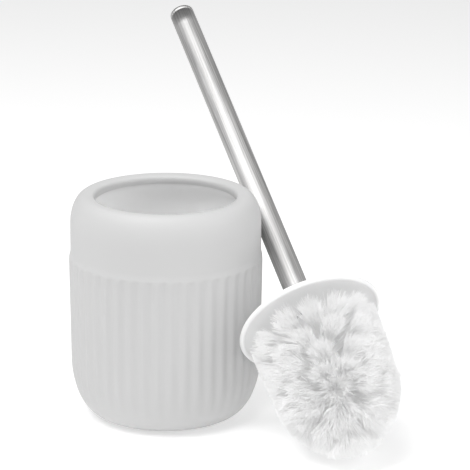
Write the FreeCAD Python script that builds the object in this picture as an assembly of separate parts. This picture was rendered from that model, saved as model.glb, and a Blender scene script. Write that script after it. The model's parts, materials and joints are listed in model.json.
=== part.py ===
import FreeCAD, Part
import math
import os

# Toilet brush holder with its brush, in millimetres.
# The holder stands on the plane z = 0 with its axis on Z. The brush stands beside it: its
# bristles rest on the floor and its handle leans against the holder's rounded shoulder.

V = FreeCAD.Vector
os.makedirs("parts", exist_ok=True)

# ---- Holder, from the floor up ---------------------------------------------------------
PAD_STAND = 1.0            # how far the round base pad lifts the shell off the floor
PAD_SINK = 0.6             # depth of the pad's recess in the underside
PAD_R = 33.0

HEIGHT = 129.4             # floor to the top of the rim
FOOT_R = 36.6              # flat underside
BASE_CURVE_H = 32.4        # height of the big soft curve from the underside into the wall
WALL_R_LOW = 54.2          # crest of the ribs just above the base curve
WALL_R = 55.0              # crest of the ribs at their top, the widest place
RIB_TOP = 93.0             # where the ribs end
RIB_STEP_H = 3.4           # height of the soft step from the ribs in to the smooth band
BAND_R = 54.1              # smooth band above the ribs
SHOULDER_Z = 112.7         # where the band starts to curve into the shoulder
CREST_R = 45.6             # radius of the rim's highest circle
LIP_R = 42.2               # where the rim turns down into the mouth
MOUTH_R = 40.1             # the straight land inside the mouth
LIP_DROP = 2.2             # height of the rounded edge between rim and land
LAND_H = 2.4
SHELL = 4.6                # wall thickness
FLOOR_T = 6.0              # thickness of the shell's floor

RIB_COUNT = 44
RIB_DEPTH = 0.85           # crest to valley
RIB_START = 2.8            # angle of one rib's crest from +X, in degrees

# ---- Brush, along its own axis: 0 at the lid's rim, + towards the end of the handle ------
LID_R = 41.5
BEAD_R = 1.5               # rounded bead round the lid's edge
LID_T = 2.2                # wall of the lid's dome
DOME_RISE = 4.5            # top of the dome above the bead's centre, at the collar
COLLAR_R = 9.4
COLLAR_TOP = 13.0
SEAT_Z = 6.0               # where the end of the tube sits in the collar
HUB_Z = 3.2                # underside of the lid's hub
HUB_R = 12.0
STUD_HOLE_R = 4.3

TUBE_R = 7.2
TUBE_T = 0.8
HANDLE_END = 240.0
END_CAP_T = 3.2
END_CAP_PLUG = 9.0
END_CAP_EDGE = 1.6

PLUG_TOP = 40.0            # plastic plug inside the bottom of the tube
INSERT_R = 5.4             # threaded insert in the plug
INSERT_TOP = 22.0
THREAD_R = 4.0             # M8
STUD_R = 3.95
STUD_TOP = 18.0
STUD_DEPTH = 13.6          # how deep the stud is set in the head's core
AIR_R = 4.4                # relief bore above the insert
AIR_TOP = 30.0

WASHER_R = 8.2
WASHER_T = 1.5
GAP = 0.05                 # air between faces that part when the head is unscrewed

CORE_R = 8.5               # bristle core
CORE_STRAIGHT = 47.0       # straight length below the lid's rim
TUFT_ROOT_R = 1.45
TUFT_TIP_R = 5.0
TUFT_SINK = 2.6            # depth of the tuft in its hole
ANCHOR = (2.1, 0.4, 0.8)   # flat wire anchor across the bottom of each hole
HEAD_LENGTH = 91.0         # lid's rim to the end of the bristles
HEAD_R = 38.2              # bristle tips next to the lid
HEAD_R_MID = 35.6          # bristle tips where the egg-shaped end begins
HEAD_MID = 50.0            # distance of that place from the lid's rim
EGG_POWER = 1.75           # 2 would be an ellipse; less is more pointed

# Each ring of tufts: distance of its roots from the lid's rim, lean towards the tip, count, and
# the turn of its first tuft about the brush's axis. The rings are staggered.
RINGS = [(15.5, -4.0, 12, 6.3), (26.0, 4.0, 12, 21.3), (36.5, 10.0, 12, 6.3),
         (46.5, 17.0, 12, 21.3)]
# Rings on the round nose of the core, by their lean, count and turn.
NOSE_RINGS = [(32.0, 10, 9.8), (61.0, 6, 30.3), (90.0, 1, 0.0)]

# ---- Where the brush stands --------------------------------------------------------------
LEAN = 54.4                # angle of the handle from upright
HEADING = 111.3            # compass direction in which the handle leans, from +X
LID_AT = V(80.6, -35.6, 64.45)


def save(shape, node):
    """Write one piece as its own STEP file."""
    if not shape.isValid():
        raise ValueError(node + " is not a valid solid")
    shape.exportStep("parts/" + node + ".step")
    print(node, len(shape.Solids), "solid(s)", round(shape.Volume), "mm3")


def line(a, b):
    return Part.LineSegment(V(a[0], 0, a[1]), V(b[0], 0, b[1])).toShape()


def arc(a, through, b):
    return Part.Arc(V(a[0], 0, a[1]), V(through[0], 0, through[1]), V(b[0], 0, b[1])).toShape()


def quarter_ellipse(centre, rx, rz, first, last):
    """An arc of an ellipse in the XZ plane, from angle first to angle last in degrees."""
    steps = 10
    points = []
    for i in range(steps + 1):
        a = math.radians(first + (last - first) * i / steps)
        points.append(V(centre[0] + rx * math.cos(a), 0, centre[1] + rz * math.sin(a)))
    curve = Part.BSplineCurve()
    curve.interpolate(points)
    return curve.toShape()


def turned(edges):
    """Spin a closed outline in the XZ plane once round Z into a solid."""
    face = Part.Face(Part.Wire(edges))
    solid = face.revolve(V(0, 0, 0), V(0, 0, 1), 360)
    if solid.Volume < 0:
        solid.reverse()
    return Part.makeSolid(solid) if solid.ShapeType == "Shell" else solid


def rod(radius, low, high):
    return Part.makeCylinder(radius, high - low, V(0, 0, low))


# ---- The holder ----------------------------------------------------------------------------
def rib_point(quarter, wave, z):
    """A point on the wavy outline, counted in quarters of a rib from the first crest."""
    r = WALL_R - RIB_DEPTH * (1 - wave) / 2
    a = math.radians(RIB_START + 90.0 * quarter / RIB_COUNT)
    return V(r * math.cos(a), r * math.sin(a), z)


def rib_cutter():
    """A sleeve round the holder whose inside is ribbed: a crest arc and a valley arc per rib."""
    low = -1.0
    edges = []
    for i in range(RIB_COUNT):
        q = 4 * i
        crest = Part.Arc(rib_point(q - 1, 0, low), rib_point(q, 1, low), rib_point(q + 1, 0, low))
        valley = Part.Arc(rib_point(q + 1, 0, low), rib_point(q + 2, -1, low), rib_point(q + 3, 0, low))
        edges += [crest.toShape(), valley.toShape()]
    ribbed = Part.Face(Part.Wire(edges)).extrude(V(0, 0, RIB_TOP - low))
    return rod(WALL_R + 6, low, RIB_TOP).cut(ribbed)


def holder_outline():
    """The outside and the inside of the shell, as one closed outline."""
    z0 = PAD_STAND
    curve_top = z0 + BASE_CURVE_H
    step_top = RIB_TOP + RIB_STEP_H
    edges = [line((0, z0), (FOOT_R, z0))]
    edges.append(quarter_ellipse((FOOT_R, curve_top), WALL_R_LOW - FOOT_R, BASE_CURVE_H, -90, 0))
    edges.append(line((WALL_R_LOW, curve_top), (WALL_R, RIB_TOP)))
    edges.append(line((WALL_R, RIB_TOP), (BAND_R, step_top)))
    edges.append(line((BAND_R, step_top), (BAND_R, SHOULDER_Z)))
    edges.append(quarter_ellipse((CREST_R, SHOULDER_Z), BAND_R - CREST_R, HEIGHT - SHOULDER_Z, 0, 90))
    lip_z = HEIGHT - 0.4
    land_top = lip_z - LIP_DROP
    corner = 0.7071
    lip_mid = (MOUTH_R + (LIP_R - MOUTH_R) * (1 - corner), land_top + LIP_DROP * corner)
    edges.append(line((CREST_R, HEIGHT), (LIP_R, lip_z)))
    edges.append(arc((LIP_R, lip_z), lip_mid, (MOUTH_R, land_top)))
    land_low = land_top - LAND_H
    edges.append(line((MOUTH_R, land_top), (MOUTH_R, land_low)))
    inner_r = BAND_R - SHELL
    inner_top = SHOULDER_Z - 3.0
    edges.append(quarter_ellipse((MOUTH_R, inner_top), inner_r - MOUTH_R, land_low - inner_top, 90, 0))
    floor_z = z0 + FLOOR_T
    edges.append(line((inner_r, inner_top), (inner_r, curve_top)))
    edges.append(quarter_ellipse((FOOT_R - 4, curve_top), inner_r - FOOT_R + 4, curve_top - floor_z, 0, -90))
    edges.append(line((FOOT_R - 4, floor_z), (0, floor_z)))
    edges.append(line((0, floor_z), (0, z0)))
    return edges


def make_holder():
    pad = rod(PAD_R, 0, PAD_STAND + PAD_SINK)
    body = turned(holder_outline()).cut([rib_cutter(), pad])
    save(body.Solids[0], "holder_body")
    save(pad, "base_pad")


# ---- The brush, each piece on its own axis ---------------------------------------------------
def make_lid():
    """Splash guard: a shallow dome with a beaded edge and a collar that holds the tube."""
    edge = LID_R - BEAD_R
    top = (edge - 0.4, 1.4)
    low = (edge - 1.3, -0.4)
    collar_foot = (COLLAR_R + 2.0, DOME_RISE + 0.6)
    shape = turned([
        arc(top, (LID_R, 0), (edge, -BEAD_R)),
        arc((edge, -BEAD_R), (edge - 0.9, -1.1), low),
        arc(low, (26.0, DOME_RISE - LID_T - 0.6), (HUB_R, HUB_Z)),
        line((HUB_R, HUB_Z), (STUD_HOLE_R, HUB_Z)),
        line((STUD_HOLE_R, HUB_Z), (STUD_HOLE_R, SEAT_Z)),
        line((STUD_HOLE_R, SEAT_Z), (TUBE_R + GAP, SEAT_Z)),
        line((TUBE_R + GAP, SEAT_Z), (TUBE_R + GAP, COLLAR_TOP)),
        line((TUBE_R + GAP, COLLAR_TOP), (COLLAR_R - 0.8, COLLAR_TOP)),
        arc((COLLAR_R - 0.8, COLLAR_TOP), (COLLAR_R - 0.24, COLLAR_TOP - 0.24),
            (COLLAR_R, COLLAR_TOP - 0.8)),
        line((COLLAR_R, COLLAR_TOP - 0.8), (COLLAR_R, collar_foot[1] + 2.0)),
        arc((COLLAR_R, collar_foot[1] + 2.0), (COLLAR_R + 0.6, collar_foot[1] + 0.6), collar_foot),
        arc(collar_foot, (26.0, DOME_RISE - 0.7), top),
    ])
    return shape


def make_handle_tube():
    outer = rod(TUBE_R, SEAT_Z, HANDLE_END - END_CAP_T)
    return outer.cut(rod(TUBE_R - TUBE_T, SEAT_Z - 1, HANDLE_END))


def make_end_cap():
    """Closed end of the handle: a rounded disc with a spigot pressed into the tube."""
    inner = TUBE_R - TUBE_T
    edge = TUBE_R - END_CAP_EDGE
    seam = HANDLE_END - END_CAP_T
    corner = END_CAP_EDGE * 0.7071
    return turned([
        line((0, seam - END_CAP_PLUG), (inner, seam - END_CAP_PLUG)),
        line((inner, seam - END_CAP_PLUG), (inner, seam)),
        line((inner, seam), (TUBE_R, seam)),
        line((TUBE_R, seam), (TUBE_R, HANDLE_END - END_CAP_EDGE)),
        arc((TUBE_R, HANDLE_END - END_CAP_EDGE),
            (edge + corner, HANDLE_END - END_CAP_EDGE + corner), (edge, HANDLE_END)),
        line((edge, HANDLE_END), (0, HANDLE_END)),
        line((0, HANDLE_END), (0, seam - END_CAP_PLUG)),
    ])


def make_handle_plug():
    plug = rod(TUBE_R - TUBE_T, SEAT_Z, PLUG_TOP)
    plug = plug.cut(rod(INSERT_R, SEAT_Z, INSERT_TOP))
    return plug.cut(rod(AIR_R, INSERT_TOP, AIR_TOP))


def make_thread_insert():
    return rod(INSERT_R, SEAT_Z, INSERT_TOP).cut(rod(THREAD_R, SEAT_Z, INSERT_TOP))


def make_washer():
    low = HUB_Z - GAP - WASHER_T
    return rod(WASHER_R, low, HUB_Z - GAP).cut(rod(STUD_HOLE_R, low, HUB_Z - GAP))


CORE_TOP = HUB_Z - 2 * GAP - WASHER_T


def make_stud():
    stud = rod(STUD_R, CORE_TOP - STUD_DEPTH, STUD_TOP)
    top_edge = [e for e in stud.Edges if e.BoundBox.ZMin > STUD_TOP - 0.01]
    return stud.makeChamfer(0.7, top_edge)


def envelope(s):
    """Radius of the bristle tips at a distance s below the lid's rim."""
    if s < HEAD_MID:
        return HEAD_R + (HEAD_R_MID - HEAD_R) * s / HEAD_MID
    t = min(1.0, (s - HEAD_MID) / (HEAD_LENGTH - HEAD_MID))
    return HEAD_R_MID * (1 - t ** EGG_POWER) ** (1 / EGG_POWER)


def reach(root_r, root_s, lean):
    """Length of a tuft from its root on the core until its flat end meets the envelope."""
    a = math.radians(lean)
    low = 0.0
    high = 60.0
    for _ in range(30):
        mid = (low + high) / 2
        inside = True
        for side in (-TUFT_TIP_R, TUFT_TIP_R):
            r = abs(root_r + mid * math.cos(a) - side * math.sin(a))
            s = root_s + mid * math.sin(a) + side * math.cos(a)
            inside = inside and s < HEAD_LENGTH and r < envelope(s)
        if inside:
            low = mid
        else:
            high = mid
    return low


def tuft_rings():
    """Every ring as (root radius, root distance, lean, count, turn of its first tuft)."""
    for s, lean, count, first in RINGS:
        yield CORE_R, s, lean, count, first
    for lean, count, first in NOSE_RINGS:
        a = math.radians(lean)
        yield CORE_R * math.cos(a), CORE_STRAIGHT + CORE_R * math.sin(a), lean, count, first


def placed(shape, root_r, root_s, lean, turn):
    """Move a shape whose root is at the origin and whose length is on +X to its ring place."""
    shape.rotate(V(0, 0, 0), V(0, 1, 0), lean)
    shape.translate(V(root_r, 0, -root_s))
    shape.rotate(V(0, 0, 0), V(0, 0, 1), turn)
    return shape


def make_head():
    """The core with its drilled holes, the tufts ring by ring, and their wire anchors."""
    core = rod(CORE_R, -CORE_STRAIGHT, CORE_TOP)
    core = core.fuse(Part.makeSphere(CORE_R, V(0, 0, -CORE_STRAIGHT))).removeSplitter()
    holes = [rod(STUD_R, CORE_TOP - STUD_DEPTH, CORE_TOP)]
    rings = []
    anchors = []
    for root_r, root_s, lean, count, first in tuft_rings():
        length = reach(root_r, root_s, lean)
        tufts = []
        for i in range(count):
            turn = first + 360.0 * i / count
            x = V(1, 0, 0)
            deep = TUFT_SINK + ANCHOR[2]
            hole = Part.makeCylinder(TUFT_ROOT_R, deep + 2, V(-deep, 0, 0), x)
            holes.append(placed(hole, root_r, root_s, lean, turn))
            stem = Part.makeCylinder(TUFT_ROOT_R, TUFT_SINK, V(-TUFT_SINK, 0, 0), x)
            fan = Part.makeCone(TUFT_ROOT_R, TUFT_TIP_R, length, V(0, 0, 0), x)
            tufts.append(placed(stem.fuse(fan).removeSplitter(), root_r, root_s, lean, turn))
            wire = Part.makeBox(ANCHOR[2], ANCHOR[0], ANCHOR[1], V(-deep, -ANCHOR[0] / 2, -ANCHOR[1] / 2))
            anchors.append(placed(wire, root_r, root_s, lean, turn))
        rings.append(Part.makeCompound(tufts))
    return core.cut(holes), rings, Part.makeCompound(anchors)


def stand(shape):
    """Lean a brush piece into its place beside the holder."""
    copy = shape.copy()
    copy.rotate(V(0, 0, 0), V(0, 1, 0), LEAN)
    copy.rotate(V(0, 0, 0), V(0, 0, 1), HEADING)
    copy.translate(LID_AT)
    return copy


def make_brush():
    core, rings, anchors = make_head()
    pieces = {
        "lid": make_lid(),
        "handle_tube": make_handle_tube(),
        "handle_end_cap": make_end_cap(),
        "handle_plug": make_handle_plug(),
        "thread_insert": make_thread_insert(),
        "sealing_washer": make_washer(),
        "head_stud": make_stud(),
        "head_core": core,
        "tuft_anchors": anchors,
    }
    for number, ring in enumerate(rings, 1):
        pieces["tuft_ring_%d" % number if ring.Solids[1:] else "tip_tuft"] = ring
    for node, shape in pieces.items():
        save(stand(shape), node)
    low = min(stand(ring).BoundBox.ZMin for ring in rings)
    print("lowest bristle at z =", round(low, 2))
    tube = stand(pieces["handle_tube"])
    shoulder = turned(holder_outline())
    print("handle to holder:", round(tube.distToShape(shoulder)[0], 2), "mm")
    print("lid to holder:", round(stand(pieces["lid"]).distToShape(shoulder)[0], 2), "mm")
    close = min(stand(ring).distToShape(shoulder)[0] for ring in rings)
    print("bristles to holder:", round(close, 2), "mm")


make_holder()
make_brush()
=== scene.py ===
# %% [markdown]
# # A toilet brush and its ribbed holder
#
# The holder is a thick white shell with soft ribs. The brush stands beside it: a brushed steel
# tube, a white splash guard and an egg of nylon tufts. The CAD frame already holds every piece at
# its real size, so this lesson only adds looks: smoother skins, real filaments and finishes.

# %% Load the frame
import bpy
import bmesh
import json
import math
import random
from mathutils import Matrix, Vector


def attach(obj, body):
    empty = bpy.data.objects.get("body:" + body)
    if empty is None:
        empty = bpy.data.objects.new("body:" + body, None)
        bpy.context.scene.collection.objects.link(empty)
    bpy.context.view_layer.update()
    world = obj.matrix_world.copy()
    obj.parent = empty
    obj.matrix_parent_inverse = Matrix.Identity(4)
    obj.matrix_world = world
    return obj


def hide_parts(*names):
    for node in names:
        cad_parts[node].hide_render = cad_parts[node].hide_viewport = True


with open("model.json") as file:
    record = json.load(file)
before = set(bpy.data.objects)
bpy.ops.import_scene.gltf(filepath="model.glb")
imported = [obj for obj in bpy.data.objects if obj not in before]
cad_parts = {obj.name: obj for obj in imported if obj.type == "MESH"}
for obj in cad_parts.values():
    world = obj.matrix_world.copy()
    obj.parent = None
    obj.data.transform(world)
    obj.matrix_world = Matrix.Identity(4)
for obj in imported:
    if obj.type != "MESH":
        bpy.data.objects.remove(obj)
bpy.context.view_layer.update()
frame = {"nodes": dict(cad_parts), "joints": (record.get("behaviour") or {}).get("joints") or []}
nodes = frame["nodes"]

# %% [markdown]
# ## Where things are
#
# The frame says where the brush stands. The hinge that unscrews the head lies on the brush's own
# axis, at the middle of the splash guard's rim, so its place and direction give the whole lean.
# Every brush piece is made upright, with that point at the origin, and then moved there at once.
# Outlines are drawn in millimetres, because that is how such a piece is drawn in a workshop.

# %% Find the brush's axis
MM = 0.001
turn_joint = next(j for j in frame["joints"] if j["name"] == "head_turn")
LID_AT = Vector(turn_joint["pos_m"])
HANDLE_WAY = -Vector(turn_joint["axis"]).normalized()
LEAN = math.acos(HANDLE_WAY.z)
HEADING = math.atan2(HANDLE_WAY.y, HANDLE_WAY.x)
TO_PLACE = Matrix.Translation(LID_AT) @ Matrix.Rotation(HEADING, 4, "Z") @ Matrix.Rotation(LEAN, 4, "Y")
print("handle leans", round(math.degrees(LEAN), 1), "degrees, towards", round(math.degrees(HEADING), 1))

# %% [markdown]
# ## The camera
#
# A long lens from about one and a half metres flattens the view, as in a catalogue. The camera is
# built from three turns: how far it looks down, how far it looks to the side, and a small roll.

# %% Place the camera
CAMERA_AT = (0, -1.4162, 0.5168)
VIEW_DOWN = 0.2829
VIEW_SIDE = 0.0277
VIEW_ROLL = 0.0053
camera_data = bpy.data.cameras.new("camera")
camera_data.sensor_width = 36
camera_data.lens = 199.15
camera_data.clip_end = 20
camera = bpy.data.objects.new("camera", camera_data)
bpy.context.scene.collection.objects.link(camera)
camera.matrix_world = (Matrix.Translation(CAMERA_AT) @ Matrix.Rotation(-VIEW_SIDE, 4, "Z")
                       @ Matrix.Rotation(math.pi / 2 - VIEW_DOWN, 4, "X")
                       @ Matrix.Rotation(VIEW_ROLL, 4, "Z"))
bpy.context.scene.camera = camera
bpy.context.scene.view_settings.view_transform = "Standard"
print("camera at", [round(v, 3) for v in camera.location], "with a", camera_data.lens, "mm lens")

# %% [markdown]
# ## Helpers
#
# Almost everything here was turned on a lathe or moulded round, so one helper spins an outline
# into a closed skin. An outline is a list of (radius, height) points in millimetres, and a round
# corner is an arc of a circle or an ellipse, given by its centre, its two radii and two angles.


# %% Outline and lathe helpers
def clamp(value):
    return min(1.0, max(0.0, value))


def sweep(centre, across, up, first, last, steps=8):
    """Points on an arc, from angle first to angle last in degrees."""
    angles = [math.radians(first + (last - first) * i / steps) for i in range(steps + 1)]
    return [(centre[0] + across * math.cos(a), centre[1] + up * math.sin(a)) for a in angles]


def run(start, end, steps):
    """Points on a straight line, without its first one."""
    return [(start[0] + (end[0] - start[0]) * i / steps, start[1] + (end[1] - start[1]) * i / steps)
            for i in range(1, steps + 1)]


def lathe(outline, steps, closed=False):
    """Spin an outline about Z. An outline that isn't closed starts and ends on the axis."""
    bm = bmesh.new()
    ring = [bm.verts.new((r * MM, 0, z * MM)) for r, z in outline]
    edges = [bm.edges.new(pair) for pair in zip(ring, ring[1:])]
    if closed:
        edges.append(bm.edges.new((ring[-1], ring[0])))
    bmesh.ops.spin(bm, geom=ring + edges, cent=(0, 0, 0), axis=(0, 0, 1), angle=math.tau,
                   steps=steps, use_merge=True)
    bmesh.ops.remove_doubles(bm, verts=bm.verts, dist=1e-6)
    bmesh.ops.recalc_face_normals(bm, faces=bm.faces)
    return bm


def finish_piece(name, bm, material, body, replaced, place=None):
    """Turn a bmesh into a smooth piece that rides on its body and stands for its CAD node."""
    mesh = bpy.data.meshes.new(name)
    bm.to_mesh(mesh)
    bm.free()
    if place is not None:
        mesh.transform(place)
    mesh.shade_smooth()
    mesh.materials.append(material)
    piece = bpy.data.objects.new(name, mesh)
    bpy.context.scene.collection.objects.link(piece)
    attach(piece, body)
    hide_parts(replaced)
    print(name, len(mesh.polygons), "faces")
    return piece


# %% [markdown]
# ## Finishes
#
# Each finish is one Principled shader. What varies over the surface, such as a fine bump, comes
# from noise on Object coordinates. What doesn't vary is set on the shader's own socket. Nearly
# every finish here is a grey or a white, so a small helper makes one from its lightness.


# %% Material helpers
def grey(lightness):
    return (lightness, lightness, lightness)


def new_finish(name, color, roughness, metallic=0.0, **sockets):
    """A Principled material, with any further socket set by its own name."""
    material = bpy.data.materials.new(name)
    material.use_nodes = True
    shader = material.node_tree.nodes["Principled BSDF"]
    shader.inputs["Base Color"].default_value = (*color, 1)
    shader.inputs["Roughness"].default_value = roughness
    shader.inputs["Metallic"].default_value = metallic
    for socket, value in sockets.items():
        shader.inputs[socket.replace("_", " ")].default_value = value
    return material, material.node_tree, shader


def add_noise(tree, scale, detail=2.0, turn=None, stretch=(1, 1, 1)):
    """Noise on Object coordinates. With a turn, stretch is the grain's size along turned axes."""
    coords = tree.nodes.new("ShaderNodeTexCoord")
    mapping = tree.nodes.new("ShaderNodeMapping")
    mapping.vector_type = "TEXTURE" if turn else "POINT"
    mapping.inputs["Scale"].default_value = stretch
    if turn:
        mapping.inputs["Rotation"].default_value = turn
    noise = tree.nodes.new("ShaderNodeTexNoise")
    noise.inputs["Scale"].default_value = scale
    noise.inputs["Detail"].default_value = detail
    tree.links.new(coords.outputs["Object"], mapping.inputs["Vector"])
    tree.links.new(mapping.outputs["Vector"], noise.inputs["Vector"])
    return noise.outputs["Fac"]


def add_attribute(tree, name):
    """A value that is stored on the mesh's own points."""
    node = tree.nodes.new("ShaderNodeAttribute")
    node.attribute_name = name
    return node.outputs["Fac"]


def vary_roughness(tree, shader, source, low, high):
    """Let noise move the roughness from low to high. Noise stays mostly within 0.3 to 0.7."""
    node = tree.nodes.new("ShaderNodeMapRange")
    node.inputs["From Min"].default_value = 0.3
    node.inputs["From Max"].default_value = 0.7
    node.inputs["To Min"].default_value = low
    node.inputs["To Max"].default_value = high
    tree.links.new(source, node.inputs["Value"])
    tree.links.new(node.outputs["Result"], shader.inputs["Roughness"])


def add_bump(tree, shader, source, distance, strength=1.0):
    """Raise the surface a little where the source is high."""
    bump = tree.nodes.new("ShaderNodeBump")
    bump.inputs["Distance"].default_value = distance
    bump.inputs["Strength"].default_value = strength
    tree.links.new(source, bump.inputs["Height"])
    tree.links.new(bump.outputs["Normal"], shader.inputs["Normal"])


def add_tint(tree, shader, source, dark, light):
    """Mix two close colours by a 0 to 1 value, into the base colour."""
    mix = tree.nodes.new("ShaderNodeMix")
    mix.data_type = "RGBA"
    mix.inputs["A"].default_value = (*dark, 1)
    mix.inputs["B"].default_value = (*light, 1)
    tree.links.new(source, mix.inputs["Factor"])
    tree.links.new(mix.outputs["Result"], shader.inputs["Base Color"])
    return mix.outputs["Result"]


# %% [markdown]
# ## Finishes of the holder
#
# The shell is cast resin, sprayed matte. Its outside has hardly visible clouds and the fine grain
# of the spray. The skin of the well is the same resin painted lighter: painted light, which passes
# more of the light that falls into the deep pot on from wall to wall and lifts its shade. The
# shell's points say where the well's painted light goes, by an attribute called inside. The pad
# below it is foam rubber.

# %% Make the resin and the rubbers
# Painted light: the well's skin is drawn this much lighter than the same resin outside.
WELL_PAINTED_LIGHT = grey(0.89)


def resin_finish():
    """Matte white resin with the faintest orange-peel, and painted light: a lighter skin in the well.
    """
    material, tree, shader = new_finish("resin_matte", grey(0.57), 0.58)
    outside = add_tint(tree, shader, add_noise(tree, 14, 3), grey(0.56), grey(0.585))
    # Paint light into the well: mix towards the lighter white where the inside attribute is 1.
    skin = tree.nodes.new("ShaderNodeMix")
    skin.data_type = "RGBA"
    skin.inputs["B"].default_value = (*WELL_PAINTED_LIGHT, 1)
    tree.links.new(outside, skin.inputs["A"])
    tree.links.new(add_attribute(tree, "inside"), skin.inputs["Factor"])
    tree.links.new(skin.outputs["Result"], shader.inputs["Base Color"])
    add_bump(tree, shader, add_noise(tree, 900, 3), 0.00004, 0.5)
    return material


def rubber_finish(name, color):
    """Foam rubber: dull, with the small pits of its cells."""
    material, tree, shader = new_finish(name, color, 0.8)
    add_bump(tree, shader, add_noise(tree, 1500, 2), 0.0001, 0.8)
    return material


RESIN = resin_finish()
PAD_RUBBER = rubber_finish("pad_rubber", grey(0.05))
WASHER_RUBBER = rubber_finish("washer_rubber", grey(0.6))
print("holder finishes:", RESIN.name, PAD_RUBBER.name)

# %% [markdown]
# ## Finishes of the brush
#
# The guard and the core are moulded plastic. The tube is stainless steel, brushed along its
# length on a belt, so its hair lines run along the tube and its shine spreads round it. The lines
# are noise that is very long along the brush's axis and very fine across it. The bristles are
# nylon, which takes light in and gives it back softly: part of that is subsurface scattering, and
# a slight glow stands in for the light that filaments carry to each other.

# %% Make the plastics, steels and nylon
AXIS_TURN = TO_PLACE.to_euler()
HAIR_LINES = (0.0007, 0.0007, 0.05)
TURNING_MARKS = (0.004, 0.004, 0.0003)
LINE_DARK = 0.2
LINE_LIGHT = 1.8
BRUSHED = (0.47, 0.467, 0.464)
NYLON_GLOW = 0.044


def plastic_finish(name, color, roughness):
    """Moulded white plastic: a soft sheen over very slight waviness."""
    material, tree, shader = new_finish(name, color, roughness)
    wave = add_noise(tree, 60, 2)
    add_bump(tree, shader, wave, 0.0002, 0.15)
    vary_roughness(tree, shader, wave, roughness - 0.03, roughness + 0.03)
    return material


def brushed_finish(name, color, roughness):
    """Steel brushed along the tube, with its shine smeared round it."""
    material, tree, shader = new_finish(name, color, roughness, 1.0, Anisotropic=0.9)
    lines = add_noise(tree, 1, 3, AXIS_TURN, HAIR_LINES)
    add_tint(tree, shader, lines, [c * LINE_DARK for c in color], [c * LINE_LIGHT for c in color])
    vary_roughness(tree, shader, lines, roughness - 0.05, roughness + 0.08)
    add_bump(tree, shader, lines, 0.00001, 0.4)
    tangent = tree.nodes.new("ShaderNodeTangent")
    tangent.direction_type = "UV_MAP"
    tangent.uv_map = "around"
    tree.links.new(tangent.outputs["Tangent"], shader.inputs["Tangent"])
    return material


def metal_finish(name, color, roughness):
    """Turned metal, with the fine rings that the tool leaves."""
    material, tree, shader = new_finish(name, color, roughness, 1.0)
    marks = add_noise(tree, 1, 2, AXIS_TURN, TURNING_MARKS)
    vary_roughness(tree, shader, marks, roughness - 0.06, roughness + 0.06)
    return material


def bristle_finish():
    """White nylon filaments. Each has its own tone, and painted shade makes it a little darker at its
    root.
    """
    material, tree, shader = new_finish("bristle", grey(0.9), 0.45, Subsurface_Weight=0.8,
                                        Subsurface_Scale=0.001, Specular_IOR_Level=0.3,
                                        Emission_Strength=NYLON_GLOW)
    shader.inputs["Emission Color"].default_value = (1, 1, 1, 1)
    shader.inputs["Subsurface Radius"].default_value = (1, 1, 1)
    # Each filament's own tone, times painted shade at its root, picks the base colour.
    add_tint(tree, shader, add_attribute(tree, "shade"), grey(0.93), grey(0.985))
    return material


LID_PLASTIC = plastic_finish("lid_plastic", grey(0.88), 0.35)
CORE_PLASTIC = plastic_finish("core_plastic", grey(0.9), 0.4)
INNER_PLASTIC = plastic_finish("inner_plastic", grey(0.7), 0.5)
TUBE_STEEL = brushed_finish("brushed_tube", BRUSHED, 0.4)
CAP_STEEL = brushed_finish("brushed_cap", BRUSHED, 0.4)
BRISTLE = bristle_finish()
INSERT_BRASS = metal_finish("insert_brass", (0.72, 0.52, 0.24), 0.3)
STUD_STEEL = metal_finish("stud_steel", grey(0.55), 0.35)
ANCHOR_WIRE = metal_finish("anchor_wire", grey(0.65), 0.3)
print("brush finishes:", LID_PLASTIC.name, TUBE_STEEL.name, BRISTLE.name)

# %% [markdown]
# ## The holder's shell
#
# The real shell is cast in one piece. Its outline goes from the middle of the underside out round
# the big base curve, up the wall, over the shoulder, down through the mouth and back to the
# middle of the floor inside. Spinning it gives a smooth pot; the ribs are pressed in afterwards,
# by moving each point of the outer skin inwards by a wave that fades out towards the foot.

# %% Draw the shell's outline
PAD_R = 33.0
PAD_Z = 1.6
FOOT_R = 36.6
WALL_LOW = (54.2, 33.4)
WALL_HIGH = (55.0, 91.6)
BAND_LOW = (54.1, 97.4)
BAND_HIGH = (54.1, 112.7)
MOUTH_R = 40.1
WELL_HIGH = (49.5, 109.7)
WELL_LOW = (49.5, 33.4)
WELL_FLOOR_Z = 7.0


def shell_outline():
    outline = [(0, PAD_Z), (PAD_R, PAD_Z), (PAD_R, 1.0), (FOOT_R, 1.0)]
    outline += sweep((FOOT_R, 33.4), 17.6, 32.4, -90, 0, 20)[1:]
    outline += run(WALL_LOW, WALL_HIGH, 8)
    outline += [(54.98, 92.6), (54.85, 93.6), (54.6, 94.6), (54.35, 95.5), (54.18, 96.4), BAND_LOW]
    outline += run(BAND_LOW, BAND_HIGH, 3)
    outline += sweep((45.6, 112.7), 8.5, 16.7, 0, 90, 16)[1:]
    outline += [(43.8, 129.3)]
    outline += sweep((42.2, 126.8), 2.1, 2.2, 90, 180, 6)
    outline += [(MOUTH_R, 124.4)]
    outline += sweep((MOUTH_R, 109.7), 9.4, 14.7, 90, 0, 8)[1:]
    outline += run(WELL_HIGH, WELL_LOW, 2)
    outline += sweep((32.6, 33.4), 16.9, 26.4, 0, -90, 10)[1:]
    return outline + [(0, WELL_FLOOR_Z)]


print("shell outline has", len(shell_outline()), "points")

# %% Spin the shell and press the ribs
RIB_COUNT = 44
RIB_DEPTH = 1.0
RIB_START = math.radians(2.8)
RIB_TOP = 92.6
RIB_FADE_TOP = 1.6
RIB_FADE_LOW = 6.0
RIB_FULL_LOW = 34.0
RIB_MIN_R = 37.0
STEPS_PER_RIB = 8
LIP_Z = 126.2
LIP_FADE = 5.0
LIP_LOW_Z = 100
FLOOR_ZONE = (6, 30)
TURNED = 0.3
FULLY_TURNED = 0.9


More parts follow.
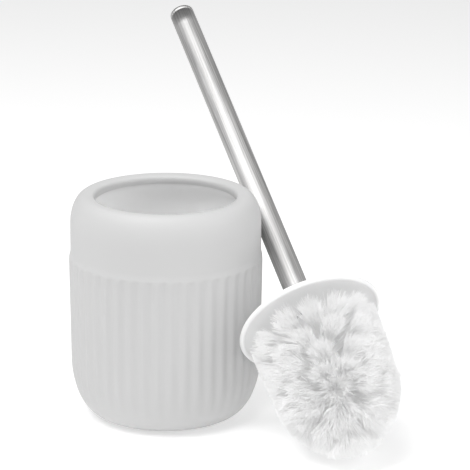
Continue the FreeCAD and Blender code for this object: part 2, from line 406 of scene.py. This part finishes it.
def fade(z):
    """How deep the ribs are at a height: 0 at their ends, 1 along their length."""
    low = clamp((z - RIB_FADE_LOW) / (RIB_FULL_LOW - RIB_FADE_LOW))
    top = clamp((RIB_TOP + RIB_FADE_TOP - z) / (2 * RIB_FADE_TOP))
    return (low * low * (3 - 2 * low)) * (top * top * (3 - 2 * top))


def outward(v):
    """How much a point's skin faces away from the axis: 1 outwards, -1 towards it."""
    return (v.normal.x * v.co.x + v.normal.y * v.co.y) / max(1e-6, math.hypot(v.co.x, v.co.y))


def mark_painted_well_light(bm):
    """Store where the well's painted light goes: 1 on the skin of the well, 0 outside, fading over the
    lip.
    """
    layer = bm.verts.layers.float.new("inside")
    for v in bm.verts:
        z = v.co.z / MM
        under_lip = z > LIP_LOW_Z and v.normal.z < -TURNED
        well_floor = FLOOR_ZONE[0] < z < FLOOR_ZONE[1] and v.normal.z > TURNED
        wall = clamp((-outward(v) - TURNED) / (FULLY_TURNED - TURNED))
        value = 1.0 if under_lip or well_floor else wall
        v[layer] = value * clamp((LIP_Z - z) / LIP_FADE)


def press_ribs(bm):
    """Move the outer wall's points towards the axis by a wave."""
    for v in bm.verts:
        r = math.hypot(v.co.x, v.co.y)
        z = v.co.z / MM
        if r < RIB_MIN_R * MM or z > RIB_TOP + RIB_FADE_TOP or outward(v) < 0:
            continue
        wave = (1 - math.cos(RIB_COUNT * (math.atan2(v.co.y, v.co.x) - RIB_START))) / 2
        shrink = 1 - RIB_DEPTH * MM * wave * fade(z) / r
        v.co.x *= shrink
        v.co.y *= shrink


shell = lathe(shell_outline(), RIB_COUNT * STEPS_PER_RIB)
shell.normal_update()
mark_painted_well_light(shell)
press_ribs(shell)
finish_piece("holder_shell", shell, RESIN, "holder", "holder_body")

# %% [markdown]
# ## The splash guard
#
# A shallow moulded dome. Its edge is a round bead that stiffens it, and its collar grips the tube.
# The outline is closed, because the guard has a hole through its middle: it runs round the bead,
# along the hollow underside to the stud's hole, up the inside of the collar, and back down over
# the collar and the dome.

# %% Spin the splash guard
EDGE_R = 40.0
BEAD_R = 1.5
COLLAR_R = 9.4
COLLAR_TOP = 13.0
STUD_HOLE_R = 4.3
SOCKET_R = 7.22
lid_outline = sweep((EDGE_R, 0), BEAD_R, BEAD_R, 105, -150, 16)
lid_outline += [(37.4, 0.35), (33.5, 1.15), (28, 2.0), (22, 2.6), (16, 3.0), (12, 3.2)]
lid_outline += [(STUD_HOLE_R, 3.2), (STUD_HOLE_R, 6.0), (SOCKET_R, 6.0), (SOCKET_R, 12.7)]
lid_outline += [(7.5, COLLAR_TOP), (8.6, COLLAR_TOP)]
lid_outline += sweep((8.6, 12.2), 0.8, 0.8, 90, 0, 5)[1:]
lid_outline += [(COLLAR_R, 8.4)]
lid_outline += sweep((12.2, 8.0), 2.8, 2.9, 180, 262, 7)
lid_outline += [(16, 4.95), (22, 4.45), (28, 3.75), (34, 2.75), (37.8, 1.9)]
guard = lathe(lid_outline, 128, closed=True)
finish_piece("splash_guard", guard, LID_PLASTIC, "brush", "lid", place=TO_PLACE)

# %% [markdown]
# ## The handle
#
# A plain tube and a closed end with a rounded edge, met at a fine seam. The shine on brushed
# metal is smeared across its hair lines, so the skin needs to know which way that is: a UV map
# called around has its first axis round the tube, and the finish reads it as the smear's way.


# %% Turn the tube and its end cap
TUBE_R = 7.2
BORE_R = 6.4
SEAM = 236.8
SEAM_BEVEL = 0.15
CAP_END = 240.0
CAP_ROUND = 1.6
CAP_PLUG_Z = 227.8
SLOPE = 0.3


def map_around(bm):
    """A UV map whose U runs round Z. V runs along Z, less a share of the radius for flat ends."""
    layer = bm.loops.layers.uv.new("around")
    for face in bm.faces:
        middle = face.calc_center_median()
        about = math.atan2(middle.y, middle.x)
        for loop in face.loops:
            co = loop.vert.co
            out = math.hypot(co.x, co.y)
            swing = (math.atan2(co.y, co.x) - about + math.pi) % math.tau - math.pi
            round_way = about + (swing if out > 1e-6 else 0)
            loop[layer].uv = (round_way * TUBE_R * MM, co.z - SLOPE * out)


tube_outline = [(BORE_R, 6.0), (TUBE_R, 6.0)] + run((TUBE_R, 6.0), (TUBE_R, SEAM - SEAM_BEVEL), 24)
tube_outline += [(TUBE_R - SEAM_BEVEL, SEAM), (BORE_R, SEAM)]
tube = lathe(tube_outline, 96, closed=True)
map_around(tube)
finish_piece("handle_sleeve", tube, TUBE_STEEL, "brush", "handle_tube", place=TO_PLACE)

cap_outline = [(0, CAP_PLUG_Z), (BORE_R, CAP_PLUG_Z), (BORE_R, SEAM + 0.05),
               (TUBE_R - SEAM_BEVEL, SEAM + 0.05), (TUBE_R, SEAM + 0.2)]
cap_outline += sweep((TUBE_R - CAP_ROUND, CAP_END - CAP_ROUND), CAP_ROUND, CAP_ROUND, 0, 90, 8)
cap_outline += [(2.8, CAP_END), (0, CAP_END)]
cap = lathe(cap_outline, 96)
map_around(cap)
finish_piece("handle_end", cap, CAP_STEEL, "brush", "handle_end_cap", place=TO_PLACE)

# %% [markdown]
# ## The egg and the rings
#
# The tufts stand in rings round the core, and three more rings close its round nose. A cutter
# trims all the tips to one egg. So a tuft is as long as the way from its root to that egg, and
# only the egg's outline and each ring's place and lean have to be given.

# %% Lay out the rings
CORE_R = 8.5
CORE_STRAIGHT = 47.0
HEAD_LENGTH = 91.0
HEAD_R = 38.2
HEAD_R_MID = 35.6
HEAD_MID = 50.0
EGG_POWER = 1.75
RINGS = [(15.5, -4.0, 12, 6.3), (26.0, 4.0, 12, 21.3), (36.5, 10.0, 12, 6.3),
         (46.5, 17.0, 12, 21.3)]
NOSE_RINGS = [(32.0, 10, 9.8), (61.0, 6, 30.3), (90.0, 1, 0.0)]


def envelope(s):
    """The egg's radius at a distance along the head."""
    if s < HEAD_MID:
        return HEAD_R + (HEAD_R_MID - HEAD_R) * s / HEAD_MID
    t = clamp((s - HEAD_MID) / (HEAD_LENGTH - HEAD_MID))
    return HEAD_R_MID * (1 - t ** EGG_POWER) ** (1 / EGG_POWER)


def reach(root_r, root_s, way_r, way_s):
    """Length from a root to the egg, found by halving."""
    low, high = 0.0, 60.0
    for _ in range(16):
        mid = (low + high) / 2
        s = root_s + way_s * mid
        inside = s < HEAD_LENGTH and abs(root_r + way_r * mid) < envelope(s)
        low, high = (mid, high) if inside else (low, mid)
    return low


def all_rings():
    """Each ring's root radius, root distance, lean, number of tufts and first turn."""
    for s, lean, count, first in RINGS:
        yield CORE_R, s, lean, count, first
    for lean, count, first in NOSE_RINGS:
        a = math.radians(lean)
        yield CORE_R * math.cos(a), CORE_STRAIGHT + CORE_R * math.sin(a), lean, count, first


print(sum(ring[3] for ring in all_rings()), "tufts")

# %% [markdown]
# ## The bristles
#
# A tuft is a bundle of nylon filaments, folded over an anchor in its hole and fanned out above
# it. A filament is a thin bent line, given its thickness by a curve's bevel, and a whole ring of
# tufts is one curve object that is then made a mesh. The filaments lean together in clumps, and no
# two are quite as long. The head stands on its bristles, and the floor bends them up and aside, so
# they are shifted a little, more towards the head's far end and towards their own tips.

# %% Grow one filament
FILAMENTS = 440
MORE_IF_FEWER = 30
FULL_RING = 12
CLUMPS = 24
CLUMPING = 0.25
FILAMENT_R = 0.15
FILAMENT_STEPS = 4
TIP_THINNING = 0.6
ROOT_SPREAD = 1.35
ROOT_DEPTH = 2.0
FLARE = 8.4
FLARE_MORE = 3.4
FLARE_FROM = 15
FLARE_REACH = 28
FLARE_SPREAD = 0.06
BEND = 0.35
UNEVEN = 0.02
FLOOR_CLEAR = 0.25
SETTLE = Vector((-2.4, -2.3, 3.8))
SETTLE_FULL_R = 25


def scatter(chance, power):
    """A point in the unit disc. A power above a half crowds the middle."""
    spread = chance.random() ** power
    around = chance.uniform(0, math.tau)
    return spread * math.cos(around), spread * math.sin(around)


def grow_filament(root, way, side, up, flare, clump, chance, length_to):
    """Points of one filament, in millimetres in the brush's own space."""
    own = scatter(chance, 0.7)
    off_side = CLUMPING * clump[0] + (1 - CLUMPING) * own[0]
    off_up = CLUMPING * clump[1] + (1 - CLUMPING) * own[1]
    flare *= chance.gauss(1, FLARE_SPREAD) / FLARE_REACH
    tip_way = (way + side * off_side * flare + up * off_up * flare).normalized()
    length = length_to(tip_way) * (clump[2] - abs(chance.gauss(0, UNEVEN)))
    bend = side * chance.gauss(0, BEND) + up * chance.gauss(0, BEND)
    start = root + (side * own[0] + up * own[1]) * ROOT_SPREAD - way * ROOT_DEPTH
    points = []
    for i in range(FILAMENT_STEPS + 1):
        t = i / FILAMENT_STEPS
        mixed = (way * (1 - t) + tip_way * t).normalized()
        points.append(start + mixed * (length + ROOT_DEPTH) * t + bend * t * t)
    return points


def to_world(point):
    """Move a point to its real place, with the shift from the floor's push, and above the floor."""
    s = -point.z
    world = TO_PLACE @ (point * MM)
    out = math.hypot(point.xy.length, max(0.0, s - CORE_STRAIGHT))
    world += SETTLE * MM * clamp(s / HEAD_LENGTH) * min(1.0, out / SETTLE_FULL_R)
    world.z = max(world.z, FLOOR_CLEAR * MM)
    return world


def draw_filament(curve, points):
    spline = curve.splines.new("POLY")
    spline.points.add(len(points) - 1)
    for spot, point in zip(spline.points, points):
        spot.co = (*to_world(point), 1)
    spline.points[-1].radius = TIP_THINNING


# %% Grow the rings
TURN_SLIP = 0.03
LEAN_SLIP = 2.5
SIDE_SLIP = 0.05
TUFT_SHADES = (0.8, 1.0)
FILAMENT_SHADES = (0.75, 1.0)
# Painted shade: a filament is this much darker at its root, deep in its tuft.
ROOT_PAINTED_SHADE = 0.78


def new_filament_curve(name):
    """An empty curve whose lines get the filaments' thickness."""
    curve = bpy.data.curves.new(name, "CURVE")
    curve.dimensions = "3D"
    curve.bevel_depth = FILAMENT_R * MM
    curve.bevel_resolution = 0
    curve.use_fill_caps = True
    return curve


def grow_tuft(curve, chance, root_r, root_s, lean, turn, filaments):
    """Draw one tuft's filaments, and return each one's shade."""
    flare = FLARE + FLARE_MORE * max(0.0, lean - FLARE_FROM) / (90 - FLARE_FROM)
    turn += chance.gauss(0, TURN_SLIP)
    tilt = math.radians(lean + chance.gauss(0, LEAN_SLIP))
    out = Vector((math.cos(turn), math.sin(turn), 0))
    down = Vector((0, 0, -1))
    way = (out * math.cos(tilt) + down * math.sin(tilt)).normalized()
    side = Vector((-math.sin(turn), math.cos(turn), 0))
    way = (way + side * chance.gauss(0, SIDE_SLIP)).normalized()
    side = (side - way * side.dot(way)).normalized()
    up = way.cross(side)
    root = out * root_r + down * root_s
    tuft_shade = chance.uniform(*TUFT_SHADES)

    def length_to(tip_way):
        return reach(root_r, root_s, tip_way.dot(out), tip_way.dot(down))

    clumps = [(*scatter(chance, 0.5), 1 - abs(chance.gauss(0, UNEVEN))) for _ in range(CLUMPS)]
    shades = []
    for k in range(filaments):
        clump = clumps[k % CLUMPS]
        draw_filament(curve, grow_filament(root, way, side, up, flare, clump, chance, length_to))
        shades.append(tuft_shade * chance.uniform(*FILAMENT_SHADES))
    return shades


def mesh_from_curve(curve, shades):
    """Make the curve a bmesh whose points carry their filament's tone, with painted shade at the root.
    """
    carrier = bpy.data.objects.new(curve.name + "_curve", curve)
    bpy.context.scene.collection.objects.link(carrier)
    mesh = bpy.data.meshes.new_from_object(carrier)
    bpy.data.objects.remove(carrier)
    per_filament = len(mesh.vertices) // len(shades)
    # Painted shade at each filament's root, fading out by half its length.
    along = [ROOT_PAINTED_SHADE + (1 - ROOT_PAINTED_SHADE) * min(1.0, 2 * k / per_filament)
             for k in range(per_filament)]
    shade = mesh.attributes.new("shade", "FLOAT", "POINT")
    shade.data.foreach_set("value", [value * part for value in shades for part in along])
    bm = bmesh.new()
    bm.from_mesh(mesh)
    bpy.data.meshes.remove(mesh)
    return bm


def make_ring(name, index, root_r, root_s, lean, count, first, replaced):
    """One ring of tufts as one piece. A ring with fewer tufts has more filaments in each."""
    chance = random.Random(100 + index)
    filaments = FILAMENTS + MORE_IF_FEWER * (FULL_RING - count)
    curve = new_filament_curve(name)
    shades = []
    for i in range(count):
        turn = math.radians(first) + math.tau * i / count
        shades += grow_tuft(curve, chance, root_r, root_s, lean, turn, filaments)
    finish_piece(name, mesh_from_curve(curve, shades), BRISTLE, "head", replaced)


for index, (root_r, root_s, lean, count, first) in enumerate(all_rings()):
    replaced = "tuft_ring_%d" % (index + 1) if count > 1 else "tip_tuft"
    make_ring("bristles_%d" % (index + 1), index, root_r, root_s, lean, count, first, replaced)

# %% [markdown]
# ## Finishes of the CAD pieces that stay
#
# The pad, washer, stud, insert, plug, core and anchors are plain turned or moulded pieces that sit
# inside or underneath. They already have their right shape, so they only get their finish.

# %% Dress the CAD pieces
STAYING = {"base_pad": PAD_RUBBER, "sealing_washer": WASHER_RUBBER, "head_core": CORE_PLASTIC,
           "handle_plug": INNER_PLASTIC, "thread_insert": INSERT_BRASS, "head_stud": STUD_STEEL,
           "tuft_anchors": ANCHOR_WIRE}
for node, finish in STAYING.items():
    piece = nodes[node]
    piece.data.materials.clear()
    piece.data.materials.append(finish)
    print(node, "gets", finish.name)

# %% [markdown]
# ## Floor and light
#
# A white sweep on a studio table. The floor glows a little, so that it stays plain white, and it
# throws light back up under the pieces. One big soft box hangs overhead to the left, one on the
# right keeps that side of the shell and the tube from going dark, and a faint one fills the
# front. Two narrow lamps finish the job: one looks down into the mouth and one finds the head.


# %% Build the stage
FLOOR_WHITE = grey(0.8)
FLOOR_GLOW = 0.36
FLOOR_REACH = 6
ROOM_GREY = grey(0.38)


def place_lamp(name, kind, place, aim, power):
    """A lamp at a place that looks at another, and the data that holds its size."""
    data = bpy.data.lights.new(name, kind)
    data.energy = power
    lamp = bpy.data.objects.new(name, data)
    bpy.context.scene.collection.objects.link(lamp)
    way = Vector(aim) - Vector(place)
    lamp.matrix_world = Matrix.Translation(place) @ way.to_track_quat("-Z", "Y").to_matrix().to_4x4()
    return data, way.length


def add_soft_box(name, place, aim, size, power):
    """A soft box of a given width and height."""
    data, _ = place_lamp(name, "AREA", place, aim, power)
    data.shape = "RECTANGLE"
    data.size = size[0]
    data.size_y = size[1]


def add_snoot(name, place, aim, reach_r, power, softness):
    """A narrow lamp that lights a disc of a given radius where it looks."""
    data, distance = place_lamp(name, "SPOT", place, aim, power)
    data.spot_size = 2 * math.atan(reach_r / distance)
    data.spot_blend = 0.4
    data.shadow_soft_size = softness


def make_floor():
    bm = bmesh.new()
    bmesh.ops.create_grid(bm, x_segments=1, y_segments=1, size=FLOOR_REACH)
    mesh = bpy.data.meshes.new("floor")
    bm.to_mesh(mesh)
    bm.free()
    material, _, shader = new_finish("floor_white", FLOOR_WHITE, 0.9, Emission_Strength=FLOOR_GLOW)
    shader.inputs["Emission Color"].default_value = (1, 1, 1, 1)
    mesh.materials.append(material)
    floor = bpy.data.objects.new("floor", mesh)
    bpy.context.scene.collection.objects.link(floor)


make_floor()
world = bpy.data.worlds.new("studio")
world.use_nodes = True
world.node_tree.nodes["Background"].inputs["Color"].default_value = (*ROOM_GREY, 1)
bpy.context.scene.world = world
bpy.context.scene.cycles.diffuse_bounces = 10
bpy.context.scene.cycles.max_bounces = 14
add_soft_box("top", (-0.45, -0.35, 1.3), (0, 0, 0.05), (1.1, 1.1), 17)
add_soft_box("front", (0.2, -1.9, 0.75), (0.02, 0, 0.08), (1.6, 1.2), 0.3)
add_soft_box("right", (1.15, -0.5, 0.7), (0.07, 0, 0.15), (0.8, 1.1), 6.5)
add_snoot("over_mouth", (0, 0, 0.22), (0, 0, 0.129), 0.033, 0.16, 0.006)
add_snoot("at_head", (0.07, -1.3, 0.42), (0.108, -0.06, 0.045), 0.08, 7, 0.06)
print("stage ready")
